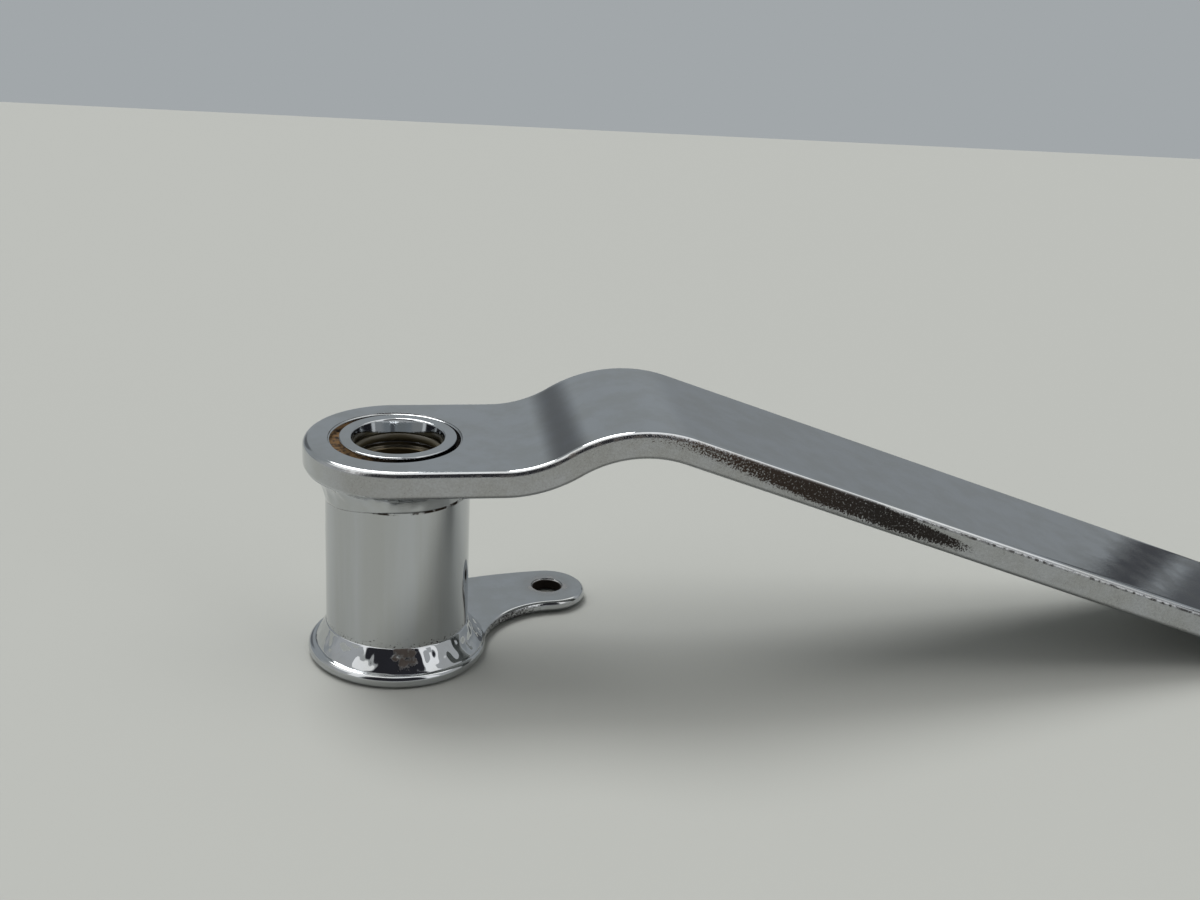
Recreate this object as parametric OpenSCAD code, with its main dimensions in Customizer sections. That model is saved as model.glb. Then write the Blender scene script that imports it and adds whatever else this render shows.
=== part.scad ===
// Motorcycle rear brake pedal: a cranked flat bar welded to a pivot tube.
// The pedal lies on its side. The pivot axis is Z, the arm heads towards +X,
// and the underside of the linkage tab lies at Z = 0.

/* [Pivot tube] */
// Outside diameter of the tube
tube_d = 31.75; // [30:0.25:34]
// Diameter of the turned-down ends that pass through the arm and the tab
spigot_d = 25.6; // [24.6:0.1:26.4]
// Bore that takes the bushes and seals
tube_bore = 20; // [19:0.5:21]
// How far the upper end stands proud of the arm
spigot_proud = 0.3; // [0.1:0.1:1.5]
// Chamfer on both mouths
mouth_chamfer = 0.5; // [0.2:0.1:0.8]

/* [Bushes and seals] */
// Diameter of the shaft that the pedal turns on
shaft_d = 18; // [17:0.5:18.5]
// Length of each bush
bush_length = 15; // [10:1:17]
// Distance from each end of the tube to its bush
bush_inset = 6.5; // [6:0.25:8]
// Distance from each end of the tube to its seal groove
seal_inset = 3; // [2:0.25:3.5]
// Thickness of the rubber ring
seal_section = 2; // [1.6:0.1:2.2]
// Room for the ring in its groove, each way
seal_clearance = 0.05; // [0.02:0.01:0.15]

/* [Arm] */
// Width of the flat bar, which is also the width of the eye
arm_width = 41.3; // [38:0.1:46]
// Thickness of the flat bar
arm_thickness = 6.35; // [5:0.05:8]
// Height of the arm's top face at the pivot
arm_top = 51.5; // [49:0.5:70]
// Rounding of the bar's long edges
arm_edge = 1.4; // [0.5:0.1:2]
// Hole in the eye
arm_hole = 28.6; // [27.9:0.1:29.6]
// How far the hole sits off the pivot axis, away from the arm
arm_hole_shift = 0.6; // [0:0.1:0.8]
// Flat length from the pivot axis to the first bend
arm_flat = 21.5; // [20.5:0.5:40]
// First bend, upwards
rise_angle = 32; // [15:1:40]
// Radius of the first bend at mid-thickness
rise_radius = 28; // [15:1:35]
// Slope of the long straight stretch below level
slope_angle = 20; // [10:1:30]
// Radius of the second bend at mid-thickness
crest_radius = 28.5; // [15:0.5:35]
// Radius of the third bend, where the arm levels off
foot_radius = 30; // [15:1:50]
// Level length beyond the third bend, up to the centre of the rounded end
foot_flat = 46; // [40:1:70]

/* [Linkage tab] */
// Diameter of the round plate
tab_plate_d = 39.8; // [38:0.2:46]
// Thickness of the plate
tab_thickness = 3; // [2.4:0.1:5]
// Distance from the pivot axis to the linkage pin
tab_reach = 44; // [38:0.2:60]
// Direction of the pin, measured from the arm
tab_angle = 33; // [-90:1:120]
// Diameter of the finger's round end
tab_end_d = 18; // [14:0.5:22]
// Hole for the linkage pin
pin_hole = 6.8; // [5:0.1:9]
// Radius of the bulged side of the finger
tab_back_radius = 100; // [60:5:200]
// Radius of the hollow side of the finger
tab_neck_radius = 18.7; // [12:0.1:30]

/* [Welds] */
// Lower weld, reach along the plate
lower_weld_out = 3.3; // [2:0.1:3.4]
// Lower weld, reach up the tube
lower_weld_up = 5.3; // [3:0.1:8]
// How far the lower weld swells towards the finger
lower_weld_shift = 0.8; // [0:0.1:1.2]
// Upper weld, reach along the arm
upper_weld_out = 3; // [1.5:0.1:4]
// Upper weld, reach down the tube
upper_weld_down = 4; // [1.5:0.1:5]
// Hollow of the welds' faces
weld_hollow = 7; // [5:0.5:20]
// Foot weld, reach each way
foot_weld = 4; // [2.5:0.5:6]

/* [Foot plate and pad] */
// Length of the foot plate along the arm
plate_length = 76; // [60:1:110]
// Height of the foot plate
plate_height = 46; // [36:1:70]
// Thickness of the foot plate
plate_thickness = 4; // [3:0.5:6]
// Corner radius of the foot plate
plate_corner = 9; // [4:0.5:14]
// Distance between the pad's two studs
stud_pitch = 46; // [30:1:50]
// Stud diameter
stud_d = 8; // [6:0.5:10]
// Diameter of the stud's head
stud_head_d = 12; // [11:0.5:14]
// Thickness of the stud's head
stud_head = 2.5; // [1.5:0.5:4]
// Thickness of the rubber pad
pad_thickness = 7; // [5:0.5:12]
// How far the pad stays inside the plate's outline
pad_margin = 1; // [0.5:0.5:3]
// Number of grooves across the pad
groove_count = 9; // [3:1:11]
// Width of each groove
groove_width = 3.6; // [2:0.2:4.4]

/* [Hidden] */
$fn = 96;
eps = 0.01;
chrome = [0.76, 0.78, 0.80];
bare_weld = [0.62, 0.62, 0.62];
bronze = [0.60, 0.45, 0.25];
seal_rubber = [0.24, 0.21, 0.14];
pad_rubber = [0.10, 0.10, 0.10];

tube_r = tube_d / 2;
bore_r = tube_bore / 2;
spigot_r = spigot_d / 2;
arm_bottom = arm_top - arm_thickness;
tube_top = arm_top + spigot_proud;
groove_floor = shaft_d / 2 + seal_section + 2 * seal_clearance;
groove_height = seal_section + 6 * seal_clearance;
// The long straight stretch ends where the level stretch rests at Z = 0
arm_mid = arm_bottom + arm_thickness / 2;
fall_angle = rise_angle + slope_angle;
crest_mid = arm_mid + rise_radius * (1 - cos(rise_angle)) + crest_radius * (cos(slope_angle) - cos(rise_angle));
foot_mid = arm_thickness / 2 + foot_radius * (1 - cos(slope_angle));
slope_length = (crest_mid - foot_mid) / sin(slope_angle);
foot_start = arm_flat + rise_radius * sin(rise_angle) + crest_radius * (sin(rise_angle) + sin(slope_angle))
           + slope_length * cos(slope_angle) + foot_radius * sin(slope_angle);
// The foot plate stands on the arm's near edge
plate_x = foot_start;
plate_y = -arm_width / 2;
stud_z = plate_height / 2 + 2;

// Flat bar, a skin over cross-sections placed along its path

// Points of the rounded cross-section, as [across, up]. Reach is how far the section lies
// beyond the centre of a half-round end, where the bar narrows.
function section_points(reach) =
    let (steps = 5, core = arm_width / 2 - arm_edge,
         crown = reach > core ? acos((reach - core) / arm_edge) : 90)
    [for (corner = [0 : 3], i = [0 : steps])
        let (turn = crown * (corner % 2 == 0 ? i : steps - i) / steps,
             out = core + arm_edge * cos(turn),
             across = sqrt(max(out * out - reach * reach, 0.02)),
             up = arm_thickness / 2 - arm_edge + arm_edge * sin(turn))
        [corner == 0 || corner == 3 ? across : -across, corner < 2 ? up : -up]];

// The path is a list of stations, each [x, z, slope, reach]
function bend_stations(start, angle, radius) =
    let (n = ceil(abs(angle) / 2), r = sign(angle) * radius)
    [for (i = [1 : n]) let (slope = start[2] + angle * i / n)
        [start[0] + r * (sin(slope) - sin(start[2])), start[1] + r * (cos(start[2]) - cos(slope)), slope, 0]];
function straight_station(start, length) =
    [start[0] + length * cos(start[2]), start[1] + length * sin(start[2]), start[2], 0];
function end_stations(centre, side) =
    [for (turn = [for (k = [1 : 14]) 6 * k, 88]) let (reach = arm_width / 2 * sin(turn)) [centre[0] + side * reach, centre[1], 0, reach]];
function last(list) = list[len(list) - 1];
function reversed(list) = [for (i = [len(list) - 1 : -1 : 0]) list[i]];

function ring(station) = [
    for (p = section_points(station[3]))
        [station[0] - p[1] * sin(station[2]), p[0], station[1] + p[1] * cos(station[2])]
];

// A solid through a list of rings with the same number of points
module skin(rings) {
    n = len(rings[0]);
    m = len(rings);
    polyhedron(
        points = [for (r = rings) each r],
        faces = concat(
            [[for (j = [0 : n - 1]) n - 1 - j]],
            [for (i = [0 : m - 2], j = [0 : n - 1]) let (k = (j + 1) % n) [i * n + j, i * n + k, (i + 1) * n + k]],
            [for (i = [0 : m - 2], j = [0 : n - 1]) let (k = (j + 1) % n) [i * n + j, (i + 1) * n + k, (i + 1) * n + j]],
            [[for (j = [0 : n - 1]) (m - 1) * n + j]]
        ),
        convexity = 6
    );
}

module pedal_arm() {
    eye = [0, arm_mid, 0, 0];
    eye_edge = straight_station(eye, arm_flat);
    rise = bend_stations(eye_edge, rise_angle, rise_radius);
    crest = bend_stations(last(rise), -fall_angle, crest_radius);
    slope_end = straight_station(last(crest), slope_length);
    foot = bend_stations(slope_end, slope_angle, foot_radius);
    foot_end = straight_station(last(foot), foot_flat);
    path = concat(reversed(end_stations(eye, -1)), [eye, eye_edge], rise, crest, [slope_end], foot,
                  [foot_end], end_stations(foot_end, 1));
    color(chrome) difference() {
        skin([for (station = path) ring(station)]);
        translate([-arm_hole_shift, 0, arm_bottom - 1]) cylinder(d = arm_hole, h = arm_thickness + 2);
    }
}

// Pivot tube, bushes and seals

module pivot_tube() {
    groove_low = seal_inset;
    groove_high = tube_top - seal_inset - groove_height;
    color(chrome) rotate_extrude() polygon([
        [bore_r + mouth_chamfer, 0], [spigot_r - mouth_chamfer, 0], [spigot_r, mouth_chamfer],
        [spigot_r, tab_thickness], [tube_r, tab_thickness],
        [tube_r, arm_bottom], [spigot_r, arm_bottom],
        [spigot_r, tube_top - mouth_chamfer], [spigot_r - mouth_chamfer, tube_top],
        [bore_r + mouth_chamfer, tube_top], [bore_r, tube_top - mouth_chamfer],
        [bore_r, groove_high + groove_height], [groove_floor, groove_high + groove_height],
        [groove_floor, groove_high], [bore_r, groove_high],
        [bore_r, groove_low + groove_height], [groove_floor, groove_low + groove_height],
        [groove_floor, groove_low], [bore_r, groove_low],
        [bore_r, mouth_chamfer]
    ]);
}

module bush(bottom) {
    color(bronze) translate([0, 0, bottom]) difference() {
        cylinder(r = bore_r, h = bush_length);
        translate([0, 0, -1]) cylinder(d = shaft_d, h = bush_length + 2);
    }
}

module seal(bottom) {
    color(seal_rubber) translate([0, 0, bottom + groove_height / 2])
        rotate_extrude() translate([groove_floor - seal_clearance - seal_section / 2, 0]) circle(d = seal_section, $fn = 32);
}

module upper_bush() bush(tube_top - bush_inset - bush_length);
module lower_bush() bush(bush_inset);
module upper_seal() seal(tube_top - seal_inset - groove_height);
module lower_seal() seal(seal_inset);

// Linkage tab

// Its outline is two circles joined by two tangent arcs, drawn with the pin on the X axis
plate_r = tab_plate_d / 2;
end_r = tab_end_d / 2;
tab_end = [tab_reach, 0];

// Centre of an arc that touches both circles, for distances a and b from their centres
function arc_centre(a, b) =
    let (x = (a * a - b * b + tab_reach * tab_reach) / (2 * tab_reach)) [x, -sqrt(a * a - x * x)];
function heading(from, to) = atan2(to.y - from.y, to.x - from.x);
back_centre = arc_centre(tab_back_radius - plate_r, tab_back_radius - end_r);
neck_centre = arc_centre(plate_r + tab_neck_radius, end_r + tab_neck_radius);
back_from = heading(back_centre, tab_end);
back_to = heading(back_centre, [0, 0]);
neck_from = heading(neck_centre, tab_end);
neck_to = heading(neck_centre, [0, 0]);

module tab_outline() {
    circle(r = plate_r);
    translate(tab_end) circle(r = end_r);
    difference() {
        intersection() {
            translate(back_centre) circle(r = tab_back_radius, $fn = 360);
            polygon([[0, 0], 1.5 * plate_r * [cos(back_to), sin(back_to)],
                     tab_end + 1.5 * plate_r * [cos(back_from), sin(back_from)], tab_end,
                     tab_end - end_r * [cos(neck_from), sin(neck_from)],
                     -plate_r * [cos(neck_to), sin(neck_to)]]);
        }
        translate(neck_centre) circle(r = tab_neck_radius);
    }
}

module linkage_tab() {
    color(chrome) rotate([0, 0, tab_angle]) difference() {
        linear_extrude(tab_thickness) tab_outline();
        translate([0, 0, -1]) cylinder(r = spigot_r, h = tab_thickness + 2);
        translate([tab_reach, 0, -1]) cylinder(d = pin_hole, h = tab_thickness + 2);
    }
}

// Welds

// Fillet with a hollow face in the corner of the X and Y axes
module fillet(out, up) {
    side = sqrt(out * out + up * up);
    stand_off = sqrt(weld_hollow * weld_hollow - side * side / 4);
    difference() {
        polygon([[0, 0], [out, 0], [0, up]]);
        translate([out / 2, up / 2] + stand_off * [up, out] / side) circle(r = weld_hollow, $fn = 180);
    }
}

module upper_weld() {
    color(bare_weld) translate([0, 0, arm_bottom])
        rotate_extrude() translate([tube_r, 0]) mirror([0, 1]) fillet(upper_weld_out, upper_weld_down);
}

module lower_weld() {
    color(bare_weld) rotate([0, 0, tab_angle]) translate([0, 0, tab_thickness]) difference() {
        translate([lower_weld_shift, 0, 0]) rotate_extrude() {
            translate([tube_r, 0]) fillet(lower_weld_out, lower_weld_up);
            translate([tube_r / 2, 0]) square([tube_r / 2 + eps, lower_weld_up]);
        }
        translate([0, 0, -1]) cylinder(r = tube_r, h = lower_weld_up + 2);
    }
}

// The foot weld's fillet reaches down over the bar's rounded edge
module foot_plate_weld() {
    color(bare_weld) translate([foot_start, plate_y, arm_thickness]) rotate([90, 0, 90])
        linear_extrude(foot_flat) {
            fillet(foot_weld, foot_weld);
            translate([0, -arm_edge]) difference() {
                square([arm_edge, arm_edge + eps]);
                translate([arm_edge, 0]) circle(r = arm_edge);
            }
        }
}

// Foot plate and pad, drawn lying on the XY plane and stood up by on_edge()

module on_edge() translate([plate_x, plate_y, 0]) rotate([90, 0, 0]) children();

module rounded_rectangle(length, height, corner) {
    translate([corner, 0]) square([length - 2 * corner, height]);
    translate([0, corner]) square([length, height - 2 * corner]);
    for (x = [corner, length - corner], y = [corner, height - corner]) translate([x, y]) circle(r = corner);
}

module at_studs() for (side = [-1, 1]) translate([plate_length / 2 + side * stud_pitch / 2, stud_z, 0]) children();

module foot_plate() {
    color(chrome) on_edge() difference() {
        linear_extrude(plate_thickness) rounded_rectangle(plate_length, plate_height, plate_corner);
        at_studs() translate([0, 0, -1]) cylinder(d = stud_d, h = plate_thickness + 2);
    }
}

module foot_pad() {
    pad_length = plate_length - 2 * pad_margin;
    groove_pitch = pad_length / (groove_count + 1);
    color(pad_rubber) on_edge() {
        difference() {
            translate([pad_margin, pad_margin, plate_thickness]) linear_extrude(pad_thickness)
                rounded_rectangle(pad_length, plate_height - 2 * pad_margin, plate_corner - pad_margin);
            for (i = [1 : groove_count]) translate([pad_margin + i * groove_pitch, 0, plate_thickness + pad_thickness])
                rotate([-90, 0, 0]) cylinder(d = groove_width, h = plate_height);
        }
        at_studs() {
            cylinder(d = stud_d, h = plate_thickness);
            translate([0, 0, -stud_head]) cylinder(d = stud_head_d, h = stud_head);
        }
    }
}

pedal_arm();
pivot_tube();
linkage_tab();
upper_weld();
lower_weld();
upper_bush();
lower_bush();
upper_seal();
lower_seal();
foot_plate();
foot_plate_weld();
foot_pad();
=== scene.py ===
"""Motorcycle brake pedal: a chrome-plated flat bar on a pivot tube, with its linkage tab and foot pad.

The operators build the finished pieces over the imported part, in metres, and a stage to show them on.
"""

import math

import bmesh
import bpy
from bpy.props import FloatProperty, FloatVectorProperty, IntProperty, PointerProperty
from mathutils import Euler, Matrix, Vector, noise


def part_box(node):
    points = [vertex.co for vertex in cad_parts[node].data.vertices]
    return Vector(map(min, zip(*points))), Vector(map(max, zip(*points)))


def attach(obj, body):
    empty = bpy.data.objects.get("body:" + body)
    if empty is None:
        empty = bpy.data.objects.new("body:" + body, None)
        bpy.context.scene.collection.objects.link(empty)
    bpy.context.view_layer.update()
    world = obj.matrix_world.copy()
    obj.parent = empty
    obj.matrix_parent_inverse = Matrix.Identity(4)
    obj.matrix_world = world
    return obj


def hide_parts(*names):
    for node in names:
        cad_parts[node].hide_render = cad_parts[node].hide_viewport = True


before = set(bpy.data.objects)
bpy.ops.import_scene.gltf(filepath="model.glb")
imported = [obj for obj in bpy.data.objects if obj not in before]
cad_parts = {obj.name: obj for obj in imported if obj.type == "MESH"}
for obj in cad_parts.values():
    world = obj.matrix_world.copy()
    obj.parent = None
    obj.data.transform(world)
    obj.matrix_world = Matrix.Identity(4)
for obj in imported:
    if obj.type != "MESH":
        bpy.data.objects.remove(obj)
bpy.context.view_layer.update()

bl_info = {
    "name": "Brake pedal",
    "version": (1, 0, 0),
    "blender": (4, 5, 0),
    "location": "3D View > Sidebar > Pedal",
    "description": "Finished pieces of a motorcycle brake pedal over its packed frame, and a stage",
    "category": "Add Mesh",
}

MM = 0.001
TURN = 2 * math.pi
TUBE_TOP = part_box("pivot_tube")[1].z
TAB_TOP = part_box("linkage_tab")[1].z
PLATE_LOW, PLATE_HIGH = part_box("foot_plate")


def linear(code):
    """An sRGB hex colour as linear RGBA."""
    parts = [int(code[i : i + 2], 16) / 255 for i in (1, 3, 5)]
    return [c / 12.92 if c <= 0.04045 else ((c + 0.055) / 1.055) ** 2.4 for c in parts] + [1.0]


def size(name, description, default_mm):
    """A length in millimetres as a Blender length."""
    return FloatProperty(
        name=name, description=description, default=default_mm * MM, unit="LENGTH", precision=5
    )


def angle(name, description, default_degrees):
    """An angle in degrees as a Blender angle."""
    return FloatProperty(
        name=name, description=description, default=math.radians(default_degrees), subtype="ANGLE"
    )


def colour(name, description, code):
    """An sRGB hex colour as a Blender colour."""
    return FloatVectorProperty(
        name=name, description=description, default=linear(code), subtype="COLOR", size=4, min=0, max=1
    )


class PEDAL_PG_arm(bpy.types.PropertyGroup):
    """Sizes of the flat bar, its eye and its bends"""

    width: size("Width", "Width of the flat bar and its eye", 41.3)
    thickness: size("Thickness", "Thickness of the flat bar", 6.35)
    top: size("Top", "Height of the top face at the pivot", 51.5)
    edge: size("Edge", "Rounding of the long edges", 1.4)
    hole: size("Hole", "Diameter of the hole in the eye", 28.6)
    hole_shift: size("Hole shift", "How far the hole sits off the pivot axis", 0.6)
    flat: size("Eye length", "Flat length from the pivot axis to the first bend", 21.5)
    rise_angle: angle("Rise", "First bend, upwards", 32)
    rise_radius: size("Rise radius", "Radius of the first bend at mid-thickness", 28)
    slope_angle: angle("Slope", "Slope of the long straight stretch", 20)
    crest_radius: size("Crest radius", "Radius of the second bend at mid-thickness", 28.5)
    foot_radius: size("Foot radius", "Radius of the third bend", 30)
    foot_flat: size("Foot length", "Level length beyond the third bend", 46)


class PEDAL_PG_tube(bpy.types.PropertyGroup):
    """Sizes of the pivot tube and what sits in it"""

    diameter: size("Diameter", "Outside diameter of the pivot tube", 31.75)
    spigot: size("Spigot", "Diameter of the turned-down ends", 25.6)
    bore: size("Bore", "Bore that takes the bushes", 20)
    shaft: size("Shaft", "Diameter of the shaft that the bushes take", 18)
    bush_length: size("Bush length", "Length of each bush", 15)
    bush_inset: size("Bush inset", "Distance from each end to its bush", 6.5)
    seal_inset: size("Seal inset", "Distance from each end to its seal groove", 3)
    seal_section: size("Seal section", "Thickness of the rubber ring", 2)
    rust_depth: size("Rust depth", "How deep the rust lies in the gap around the upper end", 1.1)


class PEDAL_PG_tab(bpy.types.PropertyGroup):
    """Sizes of the linkage tab"""

    plate: size("Round plate", "Diameter of the round plate", 39.8)
    reach: size("Reach", "Distance from the pivot axis to the linkage pin", 44)
    direction: angle("Direction", "Direction of the pin, measured from the arm", 33)
    end: size("End", "Diameter of the finger's round end", 18)
    pin: size("Pin hole", "Hole for the linkage pin", 6.8)
    back: size("Back radius", "Radius of the bulged side", 100)
    neck: size("Neck radius", "Radius of the hollow side", 18.7)
    edge: size("Edge", "Rounding of the edges", 1.25)


class PEDAL_PG_welds(bpy.types.PropertyGroup):
    """Sizes of the welds"""

    lower_out: size("Lower reach", "Lower weld, reach along the plate", 3.3)
    lower_up: size("Lower height", "Lower weld, reach up the tube", 5.3)
    lower_swell: size("Lower swell", "How far the lower weld swells towards the finger", 0.8)
    upper_out: size("Upper reach", "Upper weld, reach along the arm", 3.8)
    upper_down: size("Upper height", "Upper weld, reach down the tube", 5.2)
    upper_swell: size("Upper swell", "How far the upper weld swells on the side away from the arm", 0.6)
    upper_sag: size("Upper sag", "How much further down it runs on that side", 2.6)
    lower_hollow: FloatProperty(
        name="Lower hollow", description="Share of its reach by which the lower weld is hollow", default=0.05
    )
    upper_hollow: FloatProperty(
        name="Upper hollow", description="Share of its reach by which the upper weld is hollow", default=0.2
    )
    foot: size("Foot weld", "Foot weld, reach each way", 4)
    ripple: size("Ripple", "Height of the ripples in the welds", 0.3)


class PEDAL_PG_foot(bpy.types.PropertyGroup):
    """Sizes of the foot plate and its rubber pad"""

    corner: size("Corner", "Corner radius of the foot plate", 9)
    edge: size("Edge", "Rounding of the plate's edges", 0.8)
    pad: size("Pad", "Thickness of the rubber pad", 7)
    margin: size("Margin", "How far the pad stays inside the plate's outline", 1)
    grooves: IntProperty(name="Grooves", description="Number of grooves across the pad", default=9, min=1)
    groove: size("Groove", "Width of each groove", 3.6)
    stud_pitch: size("Stud pitch", "Distance between the pad's two studs", 46)
    stud_head: size("Stud head", "Diameter of the stud's head", 12)


class PEDAL_PG_finish(bpy.types.PropertyGroup):
    """Colours of the pedal and the floor"""

    chrome: colour("Chrome", "Chrome plate", "#C3C6C9")
    hazed: colour("Hazed chrome", "Chrome plate where handling has clouded it", "#BBBDBD")
    # Grime also gives the black of painted shade: in the bar side's painted reflection and inside the pin
    # hole
    grime_and_painted_shade: colour("Grime", "Dark dirt that sits in the pits of the plate", "#2A211B")
    rust: colour("Rust", "Rust in the gap around the tube's upper end", "#70532F")
    old_rust: colour("Old rust", "Rust in the depths of that gap", "#1C130D")
    # Stain also gives the brown of painted reflections, on the bar's side and on the lower weld
    stain: colour("Stain", "Brown film around the pin hole", "#5A4432")
    bronze: colour("Bronze", "Oiled sintered bronze", "#7A6E55")
    rubber: colour("Pad rubber", "Black moulded rubber", "#1B1B1B")
    seal: colour("Seal rubber", "Greasy brown-black rubber", "#4A4432")
    floor: colour("Floor", "Pale floor", "#B6B7B2")


GROUPS = {
    "pedal_arm": PEDAL_PG_arm,
    "pedal_tube": PEDAL_PG_tube,
    "pedal_tab": PEDAL_PG_tab,
    "pedal_welds": PEDAL_PG_welds,
    "pedal_foot": PEDAL_PG_foot,
    "pedal_finish": PEDAL_PG_finish,
}


# Mesh tools


def arc(centre, radius, start, end, steps):
    """Points along an arc, from one angle to the other, both ends included."""
    angles = [start + (end - start) * i / steps for i in range(steps + 1)]
    return [Vector((centre[0] + radius * math.cos(a), centre[1] + radius * math.sin(a))) for a in angles]


def circle(centre, radius, steps=128):
    """Points around a circle."""
    return arc(centre, radius, 0, TURN, steps)[:-1]


def quarter_round(radius, steps=6):
    """Quarter round as (inwards, down) pairs, from the flat face to the side."""
    turns = [math.pi / 2 * i / steps for i in range(steps + 1)]
    return [(radius * (1 - math.sin(a)), radius * (1 - math.cos(a))) for a in turns]


def slab_levels(top, bottom, radius, margin=1.0 * MM):
    """Levels (inwards, height) down the edge of a slab with rounded edges."""
    upper = [(inwards, top - down) for inwards, down in quarter_round(radius)]
    lower = [(inwards, bottom + down) for inwards, down in reversed(quarter_round(radius))]
    return [(radius + margin, top), *upper, *lower, (radius + margin, bottom)]


def softened(corners, steps=4):
    """A closed profile of (radius, height, rounding) corners as plain points with rounded corners."""
    points = []
    for i, (r, z, rounding) in enumerate(corners):
        here = Vector((r, z))
        if rounding == 0:
            points.append(here)
            continue
        start, end = (
            here + (Vector(corner[:2]) - here).normalized() * rounding
            for corner in (corners[i - 1], corners[(i + 1) % len(corners)])
        )
        for k in range(steps + 1):
            t = k / steps
            points.append((1 - t) ** 2 * start + 2 * t * (1 - t) * here + t**2 * end)
    return points


def skin(loops, ends="capped", bm=None):
    """Faces through a stack of loops with equal counts of points. The ends are capped, open or joined."""
    bm = bmesh.new() if bm is None else bm
    rings = [[bm.verts.new(point) for point in loop] for loop in loops]
    count = len(rings[0])
    for one, other in zip(rings, rings[1:] + rings[:1] if ends == "joined" else rings[1:]):
        for i in range(count):
            k = (i + 1) % count
            bm.faces.new((one[i], one[k], other[k], other[i]))
    if ends == "capped":
        bm.faces.new(rings[0])
        bm.faces.new(rings[-1])
    return bm


def lathe(section, steps=128, start=0.0):
    """Ring about Z. section(turn) gives its closed (radius, height) profile, a turn on from the start."""
    loops = []
    for i in range(steps):
        turn = TURN * i / steps
        x, y = math.cos(start + turn), math.sin(start + turn)
        loops.append([(radius * x, radius * y, height) for radius, height in section(turn)])
    return skin(loops, "joined")


def add_piece(name, bm, *materials):
    """An object from a finished bmesh, shaded smooth all over."""
    bmesh.ops.recalc_face_normals(bm, faces=bm.faces)
    mesh = bpy.data.meshes.new(name)
    bm.to_mesh(mesh)
    bm.free()
    piece = bpy.data.objects.new(name, mesh)
    bpy.context.scene.collection.objects.link(piece)
    for material in materials:
        mesh.materials.append(material)
    mesh.shade_smooth()
    return piece


def cut_away(piece, *cutters):
    """Cut closed meshes out of a piece for good."""
    made = [add_piece("cutter", bm) for bm in cutters]
    for cutter in made:
        modifier = piece.modifiers.new("Cut", "BOOLEAN")
        modifier.operation = "DIFFERENCE"
        modifier.solver = "EXACT"
        modifier.object = cutter
    keep_result(piece)
    for cutter in made:
        bpy.data.objects.remove(cutter)


def keep_result(piece):
    """Replace a piece's mesh by what its modifiers make of it."""
    evaluated = piece.evaluated_get(bpy.context.evaluated_depsgraph_get())
    old = piece.data
    made = bpy.data.meshes.new_from_object(evaluated)
    piece.modifiers.clear()
    piece.data = made
    made.name = old.name
    bpy.data.meshes.remove(old)


def mount_piece(piece, slot, *nodes):
    """Set a piece in the frame in place of its nodes, with shading that keeps its large faces flat."""
    modifier = piece.modifiers.new("Flats", "WEIGHTED_NORMAL")
    modifier.mode = "FACE_AREA"
    modifier.weight = 80
    modifier.keep_sharp = True
    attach(piece, "root")
    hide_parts(*nodes)


def sharpen(piece, degrees=50):
    """Mark the edges that turn by more than an angle as sharp."""
    piece.data.set_sharp_from_angle(angle=math.radians(degrees))


def flared_cutter(radius, low, high, flare, centre=(0, 0)):
    """Cutter for a round hole whose rims come out rounded. It stands a little past both faces."""
    past = 0.02 * MM
    rim = quarter_round(flare, 5)
    levels = [(0, low - flare)]
    levels += [(inwards, low - past + flare - down) for inwards, down in reversed(rim)]
    levels += [(inwards, high + past - flare + down) for inwards, down in rim]
    levels.append((0, high + flare))
    loops = []
    for inwards, height in levels:
        loops.append([(*point, height) for point in circle(centre, radius + flare - inwards)])
    return skin(loops)


# Materials


def node(tree, kind, sockets=None, **settings):
    """Add a shader node. Each socket takes a value or another node's output."""
    made = tree.nodes.new("ShaderNode" + kind)
    for name, value in settings.items():
        setattr(made, name, value)
    for socket, value in (sockets or {}).items():
        if isinstance(value, bpy.types.NodeSocket):
            tree.links.new(value, made.inputs[socket])
        else:
            made.inputs[socket].default_value = value
    return made


def blank_material(name):
    """A new material, its node tree and its surface shader."""
    material = bpy.data.materials.new(name)
    material.use_nodes = True
    return material, material.node_tree, material.node_tree.nodes["Principled BSDF"]


def per_mm(millimetres):
    """Noise scale that gives one feature in so many millimetres."""
    return 1 / (millimetres * MM)


def combined(tree, operation, values):
    """One value from several, by one operation on each value and the result so far."""
    result = values[0]
    for value in values[1:]:
        result = node(tree, "Math", {0: result, 1: value}, operation=operation).outputs[0]
    return result


def all_of(tree, *masks):
    """Where all of the masks hold."""
    return combined(tree, "MULTIPLY", masks)


def any_of(tree, *masks):
    """Where any of the masks holds."""
    return combined(tree, "MAXIMUM", masks)


def within(tree, value, *edges):
    """Where a value is inside soft edges, each given as (where the mask is 0, where it is 1)."""
    masks = []
    for outside, inside in edges:
        rises = float(inside > outside)
        span = {"From Min": min(outside, inside), "From Max": max(outside, inside)}
        ends = {"To Min": 1.0 - rises, "To Max": rises}
        ramp = node(tree, "MapRange", {"Value": value, **span, **ends}, interpolation_type="SMOOTHSTEP")
        masks.append(ramp.outputs["Result"])
    return all_of(tree, *masks)


def shift(tree, mask, before, after):
    """A value that goes from before to after as the mask goes from 0 to 1."""
    return node(tree, "MapRange", {"Value": mask, "To Min": before, "To Max": after}).outputs["Result"]


def layered(tree, tone, *layers):
    """Colour of a ground under (mask, colour) layers, the last on top."""
    for mask, layer in layers:
        # A colour mix has its two colours in sockets 6 and 7, and its result in output 2
        tone = node(tree, "Mix", {0: mask, 6: tone, 7: layer}, data_type="RGBA").outputs[2]
    return tone


def along(tree, value, *stops):
    """Straight stretches through (place in mm, result) stops."""
    total = stops[0][1]
    for (start, low), (end, high) in zip(stops, stops[1:]):
        span = {"From Min": start * MM, "From Max": end * MM, "To Max": high - low}
        step = node(tree, "MapRange", {"Value": value, **span}).outputs["Result"]
        total = combined(tree, "ADD", (total, step))
    return total


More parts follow.
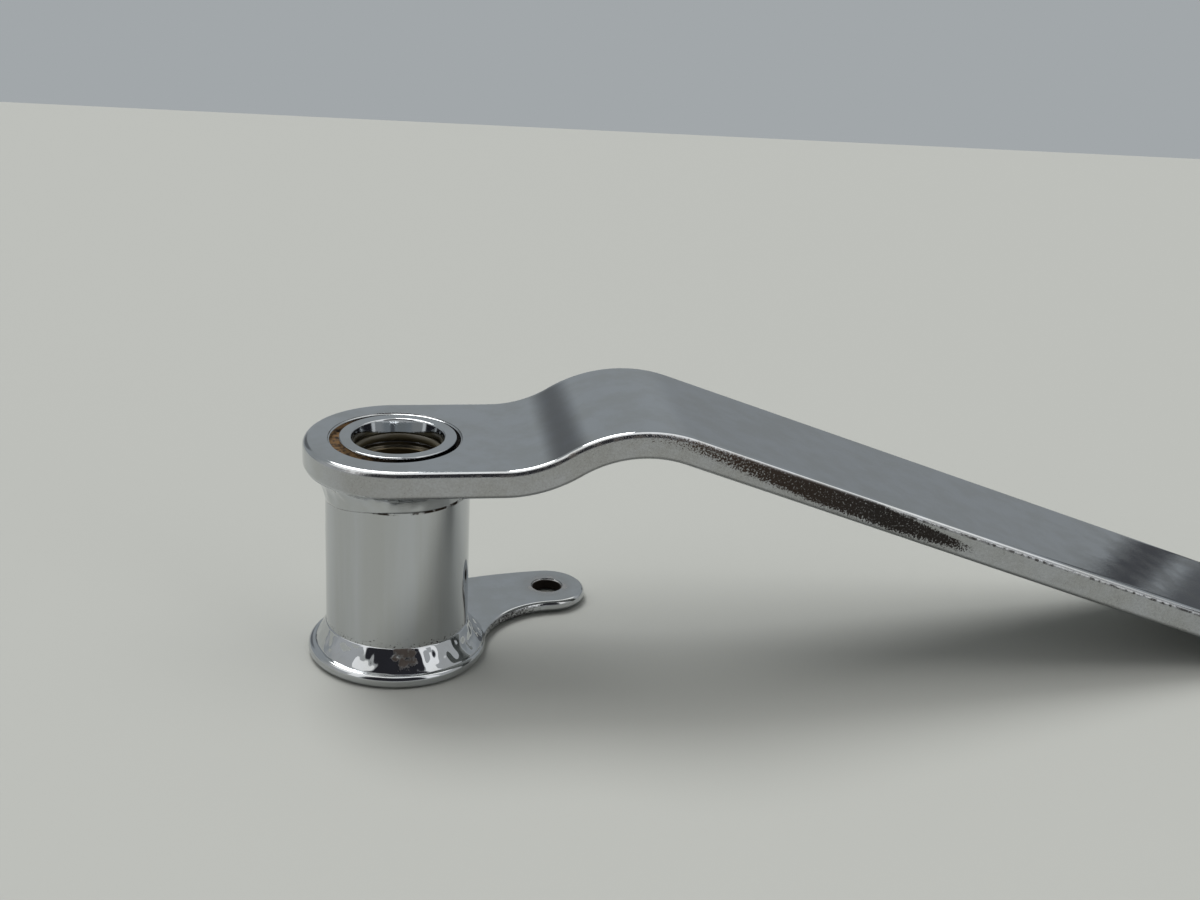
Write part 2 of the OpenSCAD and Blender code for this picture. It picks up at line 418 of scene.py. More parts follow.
def speckle(tree, place, grain_mm, cover, softness=0.06, detail=3.0):
    """Scattered specks. A higher cover gives more of them."""
    grain = node(
        tree, "TexNoise", {"Vector": place, "Scale": per_mm(grain_mm), "Detail": detail, "Roughness": 0.6}
    )
    level = combined(tree, "ADD", (grain.outputs["Fac"], cover))
    return within(tree, level, (1.0 - softness, 1.0 + softness))


def plated(name, dirt=None, stretch=(1, 1, 1), gloss=(0.05, 0.1)):
    """Decorative chrome plate on polished steel: almost a mirror, clouded and faintly wavy from polishing.

    dirt(tree, place, facing) may return a mask of the dirt and pits on the plate, together with any painted
    shade and painted reflection, and how black they are.
    stretch draws the clouding out along an axis. gloss is the roughness where it is clear and where clouded.
    """
    finish = bpy.context.scene.pedal_finish
    material, tree, shader = blank_material(name)
    place = node(tree, "TexCoord").outputs["Object"]
    facing = node(tree, "NewGeometry").outputs["Normal"]
    drawn = node(tree, "VectorMath", {0: place, 1: stretch}, operation="MULTIPLY").outputs["Vector"]
    haze = node(tree, "TexNoise", {"Vector": drawn, "Scale": per_mm(8), "Detail": 4.0, "Roughness": 0.6})
    clear = within(tree, haze.outputs["Fac"], (0.34, 0.66))
    rough = shift(tree, clear, gloss[1], gloss[0])
    tone = layered(tree, finish.hazed, (clear, finish.chrome))
    relief = {}
    # Waves that the polishing wheel left, then the plate's own fine peel, each with its width and depth
    for width_mm, strength, depth_mm in ((7, 0.25, 0.04), (0.6, 0.2, 0.012)):
        swell = node(tree, "TexNoise", {"Vector": place, "Scale": per_mm(width_mm), "Detail": 2.0})
        height = {"Height": swell.outputs["Fac"], "Strength": strength, "Distance": depth_mm * MM}
        relief = {"Normal": node(tree, "Bump", {**height, **relief}).outputs["Normal"]}
    if dirt:
        # Dirt, pits and painted shade are shaded as dark metal, because the pale gloss of a plain surface
        # would lighten them
        mask, blackness = dirt(tree, place, facing)
        tone = layered(tree, tone, (mask, layered(tree, finish.stain, (blackness, finish.grime_and_painted_shade))))
        rough = shift(tree, mask, rough, 0.75)
        pitted = {"Height": shift(tree, mask, 1.0, 0.0), "Strength": 0.5, "Distance": 0.05 * MM}
        relief = {"Normal": node(tree, "Bump", {**pitted, **relief}).outputs["Normal"]}
    shader.inputs["Metallic"].default_value = 1.0
    tree.links.new(tone, shader.inputs["Base Color"])
    tree.links.new(rough, shader.inputs["Roughness"])
    tree.links.new(relief["Normal"], shader.inputs["Normal"])
    return material


def off_slope(arm):
    """Direction square to the top of the bar's long slope."""
    return Vector((math.sin(arm.slope_angle), 0, math.cos(arm.slope_angle)))


def side_depth(tree, place, arm):
    """How far down the bar's side a place on the crest or slope is: 0 at its top face, 1 at the bottom."""
    segments = bar_segments(arm)
    slope_start = sum(length for length, _ in segments[:3])
    crest = bar_point(arm, segments, slope_start, 0, -arm.crest_radius)
    up = off_slope(arm)
    ahead = Vector((up.z, 0, -up.x))
    flattened = node(tree, "VectorMath", {0: place, 1: (1, 0, 1)}, operation="MULTIPLY").outputs["Vector"]
    radius = node(tree, "VectorMath", {0: flattened, 1: crest}, operation="DISTANCE").outputs["Value"]
    height = node(tree, "VectorMath", {0: place, 1: up}, operation="DOT_PRODUCT").outputs["Value"]
    outer = arm.crest_radius + arm.thickness / 2
    top = bar_point(arm, segments, slope_start, 0, arm.thickness / 2).dot(up)
    depths = []
    for value, start in ((radius, outer), (height, top)):
        span = {"Value": value, "From Min": start, "From Max": start - arm.thickness}
        depths.append(node(tree, "MapRange", span).outputs["Result"])
    reached = node(tree, "VectorMath", {0: place, 1: ahead}, operation="DOT_PRODUCT").outputs["Value"]
    on_slope = combined(tree, "GREATER_THAN", (reached, crest.dot(ahead)))
    return shift(tree, on_slope, *depths)


def arm_pits_and_painted_shade(tree, place, facing):
    """Fine pitting on the bar's side towards -Y, under a grainy film that darkens the whole side as painted
    shade. The pits thicken in a brown band under the upper edge. That band is also a painted reflection of
    shade: it turns black and sinks to the lower edge along the slope."""
    arm = bpy.context.scene.pedal_arm
    x = node(tree, "SeparateXYZ", {0: place}).outputs["X"]
    sideways = node(tree, "SeparateXYZ", {0: facing}).outputs["Y"]
    # The limits of the band of pits and painted reflected shade, as shares of the side's height, by the
    # distance from the pivot axis
    depth = side_depth(tree, place, arm)
    lower = along(tree, x, (34, 0.25), (66, 0.5), (90, 0.78), (108, 0.85), (130, 0.68))
    upper = along(tree, x, (94, -0.1), (128, 0.48))
    pits_and_shade_band = all_of(
        tree,
        within(tree, combined(tree, "SUBTRACT", (lower, depth)), (-0.22, 0.2)),
        within(tree, combined(tree, "SUBTRACT", (depth, upper)), (-0.12, 0.08)),
        within(tree, x, (26 * MM, 86 * MM), (131 * MM, 119 * MM)),
    )
    cover = shift(tree, pits_and_shade_band, 0.24, 0.66)
    pits = all_of(tree, speckle(tree, place, 0.42, cover, softness=0.1, detail=4.0), 0.94)
    # A fine grain darkens the whole side as painted shade, more strongly in the band
    grain = node(tree, "TexNoise", {"Vector": place, "Scale": per_mm(0.4), "Detail": 3.0}).outputs["Fac"]
    film = all_of(tree, grain, shift(tree, pits_and_shade_band, 0.42, 0.6))
    flank = all_of(tree, within(tree, sideways, (-0.45, -0.9)), any_of(tree, pits, film))
    # Dark specks along the rounding of the upper edge break up its highlight: partly pits, partly painted
    # breaks in the reflection where a slightly wavy edge would break it
    lean = node(tree, "VectorMath", {0: facing, 1: off_slope(arm)}, operation="DOT_PRODUCT").outputs["Value"]
    line = all_of(
        tree,
        within(tree, sideways, (-0.4, -0.7)),
        within(tree, lean, (0.1, 0.2), (0.62, 0.45)),
        speckle(tree, place, 1.3, 0.5, softness=0.12, detail=5.0),
        along(tree, x, (0, 0.35), (60, 0.8)),
    )
    # The marks turn from brown to black along the bar, where the painted reflected shade deepens
    return any_of(tree, flank, line), along(tree, x, (56, 0.3), (104, 1.0))


def tube_dirt(tree, place, facing):
    """Specks of dirt just above the lower weld and a thin broken dark line under the upper one."""
    welds, arm = bpy.context.scene.pedal_welds, bpy.context.scene.pedal_arm
    height = node(tree, "SeparateXYZ", {0: place}).outputs["Z"]
    low = within(tree, height, (12 * MM, 7.5 * MM))
    specks = speckle(tree, place, 0.45, shift(tree, low, 0.18, 0.42))
    toe = arm.top - arm.thickness - welds.upper_down * 0.97
    core, fringe = 0.15 * MM, 0.4 * MM
    ring = within(tree, height, (toe - fringe, toe - core), (toe + fringe, toe + core))
    line = all_of(tree, ring, speckle(tree, place, 2.5, 0.53, softness=0.1))
    return any_of(tree, line, specks), 0.8


def tab_dirt_and_painted_shade(tree, place, facing):
    """Pits along the finger's hollow side, a brown stain beside the pin hole, and painted shade that darkens
    the inside of the hole.
    """
    tab = bpy.context.scene.pedal_tab
    flattened = node(tree, "VectorMath", {0: place, 1: (1, 1, 0)}, operation="MULTIPLY").outputs["Vector"]

    def distance(reach, turn):
        """Distance from an upright line at a reach and turn from the pivot axis."""
        point = Vector((math.cos(turn), math.sin(turn), 0)) * reach
        return node(tree, "VectorMath", {0: flattened, 1: point}, operation="DISTANCE").outputs["Value"]

    pin, rim = distance(tab.reach, tab.direction), tab.pin / 2
    # Painted shade: the inside of the pin hole is painted almost wholly dark
    hole = all_of(tree, within(tree, pin, (rim + 0.3 * MM, rim + 0.1 * MM)), 0.97)
    around = within(tree, pin, (rim + 3.6 * MM, rim + 0.2 * MM))
    stain = all_of(tree, around, speckle(tree, place, 3.0, 0.52, softness=0.3, detail=4.0), 0.45)
    # The hollow is deepest two thirds of the way to the pin, a little to its right
    hollow = within(tree, distance(0.66 * tab.reach, tab.direction - 0.33), (14 * MM, 5 * MM))
    side = within(tree, node(tree, "SeparateXYZ", {0: facing}).outputs["Z"], (0.7, 0.35))
    cover = shift(tree, hollow, 0.2, 0.52)
    pits = all_of(tree, side, speckle(tree, place, 0.45, cover, softness=0.14, detail=4.0), 0.9)
    blackness = within(tree, any_of(tree, hole, pits), (0.1, 0.4))
    return any_of(tree, stain, pits, hole), blackness


def weld_painted_reflection(tree, place, facing):
    """A painted reflection of something brown: a speckled brown patch in the hollow of the lower weld's
    front.
    """
    front = Vector((1.2, -17.6, 6.8)) * MM
    away = node(tree, "VectorMath", {0: place, 1: front}, operation="DISTANCE").outputs["Value"]
    cover = shift(tree, within(tree, away, (4.6 * MM, 1.8 * MM)), 0.2, 0.62)
    return all_of(tree, speckle(tree, place, 1.6, cover, softness=0.12, detail=4.0), 0.8), 0.25


def rust():
    """Iron rust packed in the gap: matt and crumbly, brown towards -X and black in its depths."""
    finish = bpy.context.scene.pedal_finish
    material, tree, shader = blank_material("Packed rust")
    place = node(tree, "TexCoord").outputs["Object"]
    x = node(tree, "SeparateXYZ", {0: place}).outputs["X"]
    crumbs = node(tree, "TexNoise", {"Vector": place, "Scale": per_mm(1.2), "Detail": 5.0}).outputs["Fac"]
    fresh = all_of(tree, within(tree, x, (2 * MM, -9 * MM)), within(tree, crumbs, (0.3, 0.6)))
    lift = node(tree, "Bump", {"Height": crumbs, "Strength": 0.8, "Distance": 0.3 * MM})
    tree.links.new(layered(tree, finish.old_rust, (fresh, finish.rust)), shader.inputs["Base Color"])
    tree.links.new(lift.outputs["Normal"], shader.inputs["Normal"])
    shader.inputs["Roughness"].default_value = 0.9
    return material


def plain(name, base, roughness, metallic=0.0, grain_mm=0.8, depth_mm=0.03):
    """One colour with a fine grain, for turned bronze and moulded rubber."""
    material, tree, shader = blank_material(name)
    place = node(tree, "TexCoord").outputs["Object"]
    grain = node(tree, "TexNoise", {"Vector": place, "Scale": per_mm(grain_mm), "Detail": 3.0})
    lift = node(tree, "Bump", {"Height": grain.outputs["Fac"], "Strength": 0.4, "Distance": depth_mm * MM})
    shader.inputs["Base Color"].default_value = base
    shader.inputs["Roughness"].default_value = roughness
    shader.inputs["Metallic"].default_value = metallic
    tree.links.new(lift.outputs["Normal"], shader.inputs["Normal"])
    return material


# The bar's path


def bar_segments(arm):
    """The path at mid-thickness as (length, curvature) pieces, from the pivot axis."""
    fall = arm.rise_angle + arm.slope_angle
    mid = arm.top - arm.thickness / 2
    crest = (
        mid
        + arm.rise_radius * (1 - math.cos(arm.rise_angle))
        + arm.crest_radius * (math.cos(arm.slope_angle) - math.cos(arm.rise_angle))
    )
    foot = arm.thickness / 2 + arm.foot_radius * (1 - math.cos(arm.slope_angle))
    return [
        (arm.flat, 0.0),
        (arm.rise_radius * arm.rise_angle, 1 / arm.rise_radius),
        (arm.crest_radius * fall, -1 / arm.crest_radius),
        ((crest - foot) / math.sin(arm.slope_angle), 0.0),
        (arm.foot_radius * arm.slope_angle, 1 / arm.foot_radius),
        (arm.foot_flat, 0.0),
    ]


def bar_point(arm, segments, distance, across, up):
    """A point of the straight bar, carried to where the bends take it."""
    x, z, slope = 0.0, arm.top - arm.thickness / 2, 0.0
    for i, (length, curvature) in enumerate(segments):
        step = distance if i == len(segments) - 1 else min(distance, length)
        if curvature:
            turned = slope + step * curvature
            x += (math.sin(turned) - math.sin(slope)) / curvature
            z += (math.cos(slope) - math.cos(turned)) / curvature
            slope = turned
        else:
            x += step * math.cos(slope)
            z += step * math.sin(slope)
        distance -= step
        if distance <= 0:
            break
    return Vector((x - up * math.sin(slope), across, z + up * math.cos(slope)))


def bar_stations(segments):
    """Distances along the bar for its cross rows: close in the bends, wide apart between them."""
    bend_step, straight_step = 0.7 * MM, 5 * MM
    stations, start = [], 0.0
    for length, curvature in segments:
        count = max(2, math.ceil(length / (bend_step if curvature else straight_step)))
        stations += [start + length * i / count for i in range(count)]
        start += length
    return [*stations, start]


class PEDAL_OT_arm(bpy.types.Operator):
    """Build the cranked flat bar with its eye"""

    bl_idname = "pedal.arm"
    bl_label = "Pedal arm"

    def execute(self, context):
        arm = context.scene.pedal_arm
        segments = bar_segments(arm)
        stations = bar_stations(segments)
        steps = 32
        turns = [math.pi / 2 * i / steps for i in range(1, steps + 1)]
        rows = []
        for inwards, up in slab_levels(arm.thickness / 2, -arm.thickness / 2, arm.edge):
            half = arm.width / 2 - inwards
            far_end = [(stations[-1] + half * math.cos(t), half * math.sin(t)) for t in [0.0, *turns[:-1]]]
            eye_end = [(-half * math.sin(t), half * math.cos(t)) for t in turns]
            side = far_end + [(s, half) for s in reversed(stations)] + eye_end
            outline = side + [(s, -across) for s, across in reversed(side[1:-1])]
            rows.append([bar_point(arm, segments, s, across, up) for s, across in outline])
        bm = skin(rows, "open")
        bm.verts.ensure_lookup_table()
        count = len(rows[0])
        # The top and bottom are strips of faces from side to side, so that they follow the bends
        for first in (0, count * (len(rows) - 1)):
            for i in range(count // 2):
                corners = (i, i + 1, (count - i - 1) % count, (count - i) % count)
                bm.faces.new([bm.verts[first + k] for k in dict.fromkeys(corners)])
        # The bar's side gets pits and painted shade from its mask
        piece = add_piece("Arm", bm, plated("Chrome plate, pitted bar", arm_pits_and_painted_shade))
        low, flare = arm.top - arm.thickness, 0.35 * MM
        cut_away(piece, flared_cutter(arm.hole / 2, low, arm.top, flare, (-arm.hole_shift, 0)))
        sharpen(piece)
        mount_piece(piece, "arm_chrome", "pedal_arm")
        return {"FINISHED"}


class PEDAL_OT_tube(bpy.types.Operator):
    """Build the pivot tube with its turned-down ends and seal grooves"""

    bl_idname = "pedal.tube"
    bl_label = "Pivot tube"

    def execute(self, context):
        tube, arm = context.scene.pedal_tube, context.scene.pedal_arm
        bore, spigot, outer = tube.bore / 2, tube.spigot / 2, tube.diameter / 2
        clearance = 0.05 * MM
        groove = tube.shaft / 2 + tube.seal_section + 2 * clearance
        height = tube.seal_section + 6 * clearance
        arm_bottom = arm.top - arm.thickness
        low, high = tube.seal_inset, TUBE_TOP - tube.seal_inset - height
        # The rust stands around the upper end as a ring a little narrower than the tube
        crust_out = outer - 0.6 * MM
        crust_top = arm.top - tube.rust_depth
        profile = softened(
            [
                (bore, 0, 0.5 * MM),
                (spigot, 0, 0.3 * MM),
                (spigot, TAB_TOP, 0),
                (outer, TAB_TOP, 0),
                (outer, arm_bottom, 0),
                (crust_out, arm_bottom, 0),
                (crust_out, crust_top, 0),
                (spigot, crust_top, 0),
                (spigot, TUBE_TOP, 0.3 * MM),
                (bore + 0.2 * MM, TUBE_TOP, 0.35 * MM),
                (bore - 0.4 * MM, high + height, 0.1 * MM),
                (groove, high + height, 0),
                (groove, high, 0),
                (bore, high, 0.1 * MM),
                (bore, low + height, 0.1 * MM),
                (groove, low + height, 0),
                (groove, low, 0),
                (bore, low, 0.1 * MM),
            ]
        )

        near = 0.001 * MM

        def crumbled(turn):
            """The profile with the rust high on the side away from the arm and deep on the other."""
            lump = noise.noise(Vector((turn * 9, 0, 3)))
            depth = max(0.1, 1.6 + 1.4 * math.cos(turn) + 0.5 * lump) * MM
            points = []
            for radius, z in profile:
                on_crust = spigot - near < radius < crust_out + near and abs(z - crust_top) < near
                points.append((radius, z - depth if on_crust else z))
            return points

        bm = lathe(crumbled, 192)
        for face in bm.faces:
            middle = face.calc_center_median()
            if spigot < middle.xy.length - 10 * near < crust_out and middle.z > arm_bottom + 0.1 * MM:
                face.material_index = 1
        # The clouding is drawn out into upright streaks: partly clouding, partly painted reflection standing
        # in for the soft upright bands that a chrome tube shows
        chrome = plated("Chrome plate, turned tube", tube_dirt, stretch=(1, 1, 0.06))
        piece = add_piece("Pivot_tube", bm, chrome, rust())
        sharpen(piece, 40)
        mount_piece(piece, "tube_chrome", "pivot_tube")
        return {"FINISHED"}


class PEDAL_OT_bushes(bpy.types.Operator):
    """Build the two bushes in the bore"""

    bl_idname = "pedal.bushes"
    bl_label = "Bushes"

    def execute(self, context):
        tube = context.scene.pedal_tube
        # Sintered bronze soaked in oil: dull brown metal with a greasy gloss
        bronze = plain("Sintered bronze, oiled", context.scene.pedal_finish.bronze, 0.32, 0.85)
        for name, bottom in (
            ("lower_bush", tube.bush_inset),
            ("upper_bush", TUBE_TOP - tube.bush_inset - tube.bush_length),
        ):
            inner, outer, top = tube.shaft / 2, tube.bore / 2, bottom + tube.bush_length
            corners = [(inner, bottom), (outer, bottom), (outer, top), (inner, top)]
            profile = softened([(r, z, 0.25 * MM) for r, z in corners])
            piece = add_piece(name.capitalize(), lathe(lambda turn: profile), bronze)
            mount_piece(piece, "bush_bronze", name)
        return {"FINISHED"}


class PEDAL_OT_seals(bpy.types.Operator):
    """Build the two rubber rings in their grooves"""

    bl_idname = "pedal.seals"
    bl_label = "Seals"

    def execute(self, context):
        tube = context.scene.pedal_tube
        # Nitrile rubber under old grease: dark, with a wet sheen
        rubber = plain("Nitrile rubber, greasy", context.scene.pedal_finish.seal, 0.35)
        radius = tube.seal_section / 2
        for name in ("lower_seal", "upper_seal"):
            low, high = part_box(name)
            centre, ring = (low.z + high.z) / 2, high.x - radius
            profile = circle((ring, centre), radius, 24)
            piece = add_piece(name.capitalize(), lathe(lambda turn: profile), rubber)
            mount_piece(piece, "seal_rubber", name)
        return {"FINISHED"}


# Linkage tab


def tab_outline(tab, inwards):
    """Outline with the pin on the X axis: the plate, the end, and the two arcs that join them."""
    plate, end = tab.plate / 2, tab.end / 2
    pivot, pin = Vector((0, 0)), Vector((tab.reach, 0))

    def centre(from_pivot, from_pin):
        """The point on the -Y side at these distances from the pivot axis and the pin."""
        x = (from_pivot**2 - from_pin**2 + tab.reach**2) / (2 * tab.reach)
        return Vector((x, -math.sqrt(from_pivot**2 - x * x)))

    def heading(origin, target):
        """Direction from one point to another."""
        return math.atan2(target[1] - origin[1], target[0] - origin[0])

    back = centre(tab.back - plate, tab.back - end)
    neck = centre(plate + tab.neck, end + tab.neck)
    back_start, back_end = heading(back, pin), heading(back, pivot)
    neck_start, neck_end = heading(neck, pivot), heading(neck, pin)
    points = arc(back, tab.back - inwards, back_start, back_end, 24)[:-1]
    points += arc(pivot, plate - inwards, back_end, neck_start - math.pi + TURN, 96)[:-1]
    points += arc(neck, tab.neck + inwards, neck_start, neck_end, 28)[:-1]
    points += arc(pin, end - inwards, neck_end - math.pi, back_start, 40)[:-1]
    return points


class PEDAL_OT_tab(bpy.types.Operator):
    """Build the linkage tab"""

    bl_idname = "pedal.tab"
    bl_label = "Linkage tab"

    def execute(self, context):
        tab, tube = context.scene.pedal_tab, context.scene.pedal_tube
        loops = []
        for inwards, height in slab_levels(TAB_TOP, 0, tab.edge, 0.6 * MM):
            loops.append([(*p, height) for p in tab_outline(tab, inwards)])
        # The tab's mask also paints shade inside the pin hole
        piece = add_piece("Linkage_tab", skin(loops), plated("Chrome plate, cast tab", tab_dirt_and_painted_shade))
        cut_away(
            piece,
            flared_cutter(tube.spigot / 2, 0, TAB_TOP, 0.2 * MM),
            flared_cutter(tab.pin / 2, 0, TAB_TOP, 0.4 * MM, (tab.reach, 0)),
        )
        piece.data.transform(Matrix.Rotation(tab.direction, 4, "Z"))
        sharpen(piece)
        mount_piece(piece, "tab_chrome", "linkage_tab")
        return {"FINISHED"}


# Welds


def hollow_profile(out, up, hollow, steps):
    """Face of a fillet weld from (out, 0) to (0, up), hollow by a share of its reach."""
    points = []
    for i in range(steps + 1):
        t = i / steps
        bow = hollow * min(out, up) * math.sin(math.pi * t)
        points.append(Vector((out * (1 - t) - bow, up * t - bow)))
    return points


def weld_section(turn, seed, out, up, hollow, swell=0.0, sag=0.0):
    """Cross-section of a weld, a turn along it, as (out, up) points from the corner that it fills.

    It swells and sags towards turn 0, and its root is buried in what it joins.
    """
    steps, root, full = 14, 0.3 * MM, 0.94
    place = Vector((math.cos(turn), math.sin(turn), 0))
    lump = 0.5 * noise.noise(place * 1.8 + Vector((0, 0, seed)))
    reach = out * (full + 0.05 * lump) + swell * math.cos(turn)
    up += sag * max(0.0, math.cos(turn)) ** 2
    face = []
    for i, point in enumerate(hollow_profile(reach, up * (full + 0.06 * lump), hollow, steps)):
        # Broad ripples and finer ones at half their height, both drifting down the face
        ripple = noise.noise(place * 4.6 + Vector((0, 0, seed + 7 + 0.09 * i)))
        ripple += 0.5 * noise.noise(place * 10 + Vector((0, 0, seed + 3 + 0.2 * i)))
        height = math.sin(math.pi * i / steps) * bpy.context.scene.pedal_welds.ripple
        raised = height * (ripple + 0.4 * lump)
        face.append((point.x + raised, point.y + raised))
    return [(-root, 0), (-root, -root), (reach, -root), *face, (-root, up * full)]


class PEDAL_OT_welds(bpy.types.Operator):
    """Build the weld around each end of the tube and the one at the foot"""

    bl_idname = "pedal.welds"
    bl_label = "Welds"

    def execute(self, context):
        scene = context.scene
        welds, arm, outer = scene.pedal_welds, scene.pedal_arm, scene.pedal_tube.diameter / 2
        # Smoother than the rest, so that each ripple of the bead shows as a sharp streak
        # The lower weld carries a brown patch painted as a reflection
        finish = plated("Chrome over weld bead", weld_painted_reflection, gloss=(0.03, 0.07))
        lower = (welds.lower_out, welds.lower_up, welds.lower_hollow, welds.lower_swell)
        upper = (welds.upper_out, welds.upper_down, welds.upper_hollow, welds.upper_swell, welds.upper_sag)
        for name, foot, upwards, swells_to, seed, sizes in (
            ("lower_weld", TAB_TOP, 1, scene.pedal_tab.direction, 1.0, lower),
            ("upper_weld", arm.top - arm.thickness, -1, math.pi, 5.0, upper),
        ):

            def section(turn):
                """The weld's section set against the tube."""
                return [(outer + out, foot + upwards * up) for out, up in weld_section(turn, seed, *sizes)]

            piece = add_piece(name.capitalize(), lathe(section, 256, swells_to), finish)
            mount_piece(piece, "weld", name)

        low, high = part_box("foot_plate_weld")
        steps, seed, ripple_turns = 96, 9.0, 1.6 / 6
        sizes = (welds.foot, welds.foot, welds.upper_hollow)
        loops = []
        for i in range(steps + 1):
            x = low.x + (high.x - low.x) * i / steps
            points = weld_section(ripple_turns * TURN * i / steps, seed, *sizes)
            loops.append([(x, low.y + out, arm.thickness + up) for out, up in points])
        mount_piece(add_piece("Foot_plate_weld", skin(loops), finish), "weld", "foot_plate_weld")
        return {"FINISHED"}


# Foot plate and pad


def rounded_rectangle(low, high, corner, inwards):
    """Outline in the XZ plane as (x, z) pairs."""
    left, right, bottom, top = low.x + corner, high.x - corner, low.z + corner, high.z - corner
    points = []
    for i, centre in enumerate(((right, top), (left, top), (left, bottom), (right, bottom))):
        points += arc(centre, corner - inwards, math.pi / 2 * i, math.pi / 2 * (i + 1), 12)
    return points


class PEDAL_OT_foot(bpy.types.Operator):
    """Build the foot plate and its rubber pad"""

    bl_idname = "pedal.foot"
    bl_label = "Foot plate and pad"

    def execute(self, context):
        foot = context.scene.pedal_foot
        buried = 0.2 * MM
        low, high = PLATE_LOW, PLATE_HIGH
        loops = []
        for inwards, y in slab_levels(high.y, low.y, foot.edge):
            loops.append([(x, y, z) for x, z in rounded_rectangle(low, high, foot.corner, inwards)])
        plate = add_piece("Foot_plate", skin(loops), plated("Chrome plate, pressed steel"))
        mount_piece(plate, "tab_chrome", "foot_plate")

        inset = Vector((foot.margin, 0, foot.margin))
        low, high = low + inset, high - inset
        corner, face = foot.corner - foot.margin, low.y - foot.pad
        loops = []
        for inwards, y in slab_levels(low.y + buried, face, 1.0 * MM):
            loops.append([(x, y, z) for x, z in rounded_rectangle(low, high, corner, inwards)])
        # Moulded rubber: black with a soft low sheen
        rubber = plain("Moulded rubber", context.scene.pedal_finish.rubber, 0.6, grain_mm=0.5)
        pad = add_piece("Foot_pad", skin(loops), rubber)
        pitch = (high.x - low.x) / (foot.grooves + 1)
        cutters = []
        for i in range(1, foot.grooves + 1):
            cutter = bmesh.new()
            place = Matrix.Translation((low.x + i * pitch, face, (low.z + high.z) / 2))
            radius, length = foot.groove / 2, (high.z - low.z) * 1.2
            bmesh.ops.create_cone(
                cutter, cap_ends=True, segments=32, radius1=radius, radius2=radius, depth=length, matrix=place
            )
            cutters.append(cutter)
        cut_away(pad, *cutters)

        # The studs come out at the back of the plate, a little above its middle
        stud_top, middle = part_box("foot_pad")[1].y, (PLATE_LOW + PLATE_HIGH) / 2
        bm = bmesh.new()
        bm.from_mesh(pad.data)
        for side in (-1, 1):
            centre = (middle.x + side * foot.stud_pitch / 2, middle.z + 2 * MM)
            loops = []
            for inwards, y in slab_levels(stud_top, PLATE_HIGH.y - buried, 0.6 * MM):
                loops.append([(x, y, z) for x, z in circle(centre, foot.stud_head / 2 - inwards, 48)])
            skin(loops, bm=bm)
        bmesh.ops.recalc_face_normals(bm, faces=bm.faces)
        bm.to_mesh(pad.data)
        bm.free()
        pad.data.shade_smooth()
        sharpen(pad, 35)
        mount_piece(pad, "pad_rubber", "foot_pad")
        return {"FINISHED"}


# Stage


def build_world(scene):
    """A room by direction alone: grey-blue wall behind, soft light overhead, a dark side in front."""
    world = bpy.data.worlds.new("Studio")
    scene.world = world
    world.use_nodes = True
    tree = world.node_tree
    background = tree.nodes["Background"]
    direction = node(tree, "TexCoord").outputs["Generated"]
    axes = node(tree, "SeparateXYZ", {0: direction}).outputs

    def spot(azimuth, elevation, inner, outer):
        """1 within inner degrees of a direction, falling to 0 at outer degrees."""
        a, e = math.radians(azimuth), math.radians(elevation)
        aim = Vector((math.sin(a) * math.cos(e), math.cos(a) * math.cos(e), math.sin(e)))
        dot = node(tree, "VectorMath", {0: direction, 1: aim}, operation="DOT_PRODUCT").outputs["Value"]
        return within(tree, dot, (math.cos(math.radians(outer)), math.cos(math.radians(inner))))

    def between(value, low, high, soft):
        """1 from low to high, falling to 0 over a soft margin outside them."""
        return within(tree, value, (low - soft, low), (high + soft, high))

    side, wall, dark = linear("#BCBEBF"), linear("#A2A7AA"), linear("#303035")
    lamp, window = [1.35 * c for c in linear("#FFFFFE")], [1.2 * c for c in linear("#FFFFFF")]
    # Seen from above, a direction's lean is how far it points sideways for each step ahead
    lean = combined(tree, "DIVIDE", (axes["X"], axes["Y"]))
    behind, in_front = within(tree, axes["Y"], (0.0, 0.1)), within(tree, axes["Y"], (-0.1, -0.2))
    wall_foot = all_of(tree, behind, within(tree, axes["Z"], (-0.08, -0.02), (0.3, 0.15)))
    strip = all_of(tree, between(axes["Y"], -0.26, 0.26, 0.1), within(tree, axes["Z"], (0.58, 0.68)))
    shape = all_of(tree, in_front, between(lean, -0.6, 1.0, 0.1), between(axes["Z"], 0.12, 0.9, 0.06))
    right_pane, left_pane = (
        all_of(tree, in_front, between(lean, start, end, 0.06), between(axes["Z"], 0.2, 0.75, 0.05))
        for start, end in ((1.25, 2.3), (-1.3, -0.75))
    )
    tone = layered(
        tree,
        side,
        (within(tree, axes["Y"], (0.1, 0.5)), wall),
        # A long strip lamp hangs overhead, along the pedal
        (strip, lamp),
        # In front a dark shape stands between two windows
        (shape, dark),
        (right_pane, window),
        (left_pane, window),
        # A dark patch on the wall to the left shows in the bar's first bend
        (all_of(tree, spot(azimuth=-24, elevation=17, inner=7.5, outer=15), 0.62), dark),
        # The wall's foot darkens to the right, behind an upright post, and is darker still beyond it
        (all_of(tree, wall_foot, within(tree, lean, (0.15, 0.4)), 0.2), dark),
        (all_of(tree, wall_foot, between(lean, 0.682, 0.703, 0.012), 0.85), dark),
        (all_of(tree, wall_foot, between(lean, 0.73, 0.9, 0.016), 0.72), dark),
    )
    tree.links.new(tone, background.inputs["Color"])
    background.inputs["Strength"].default_value = 1.0


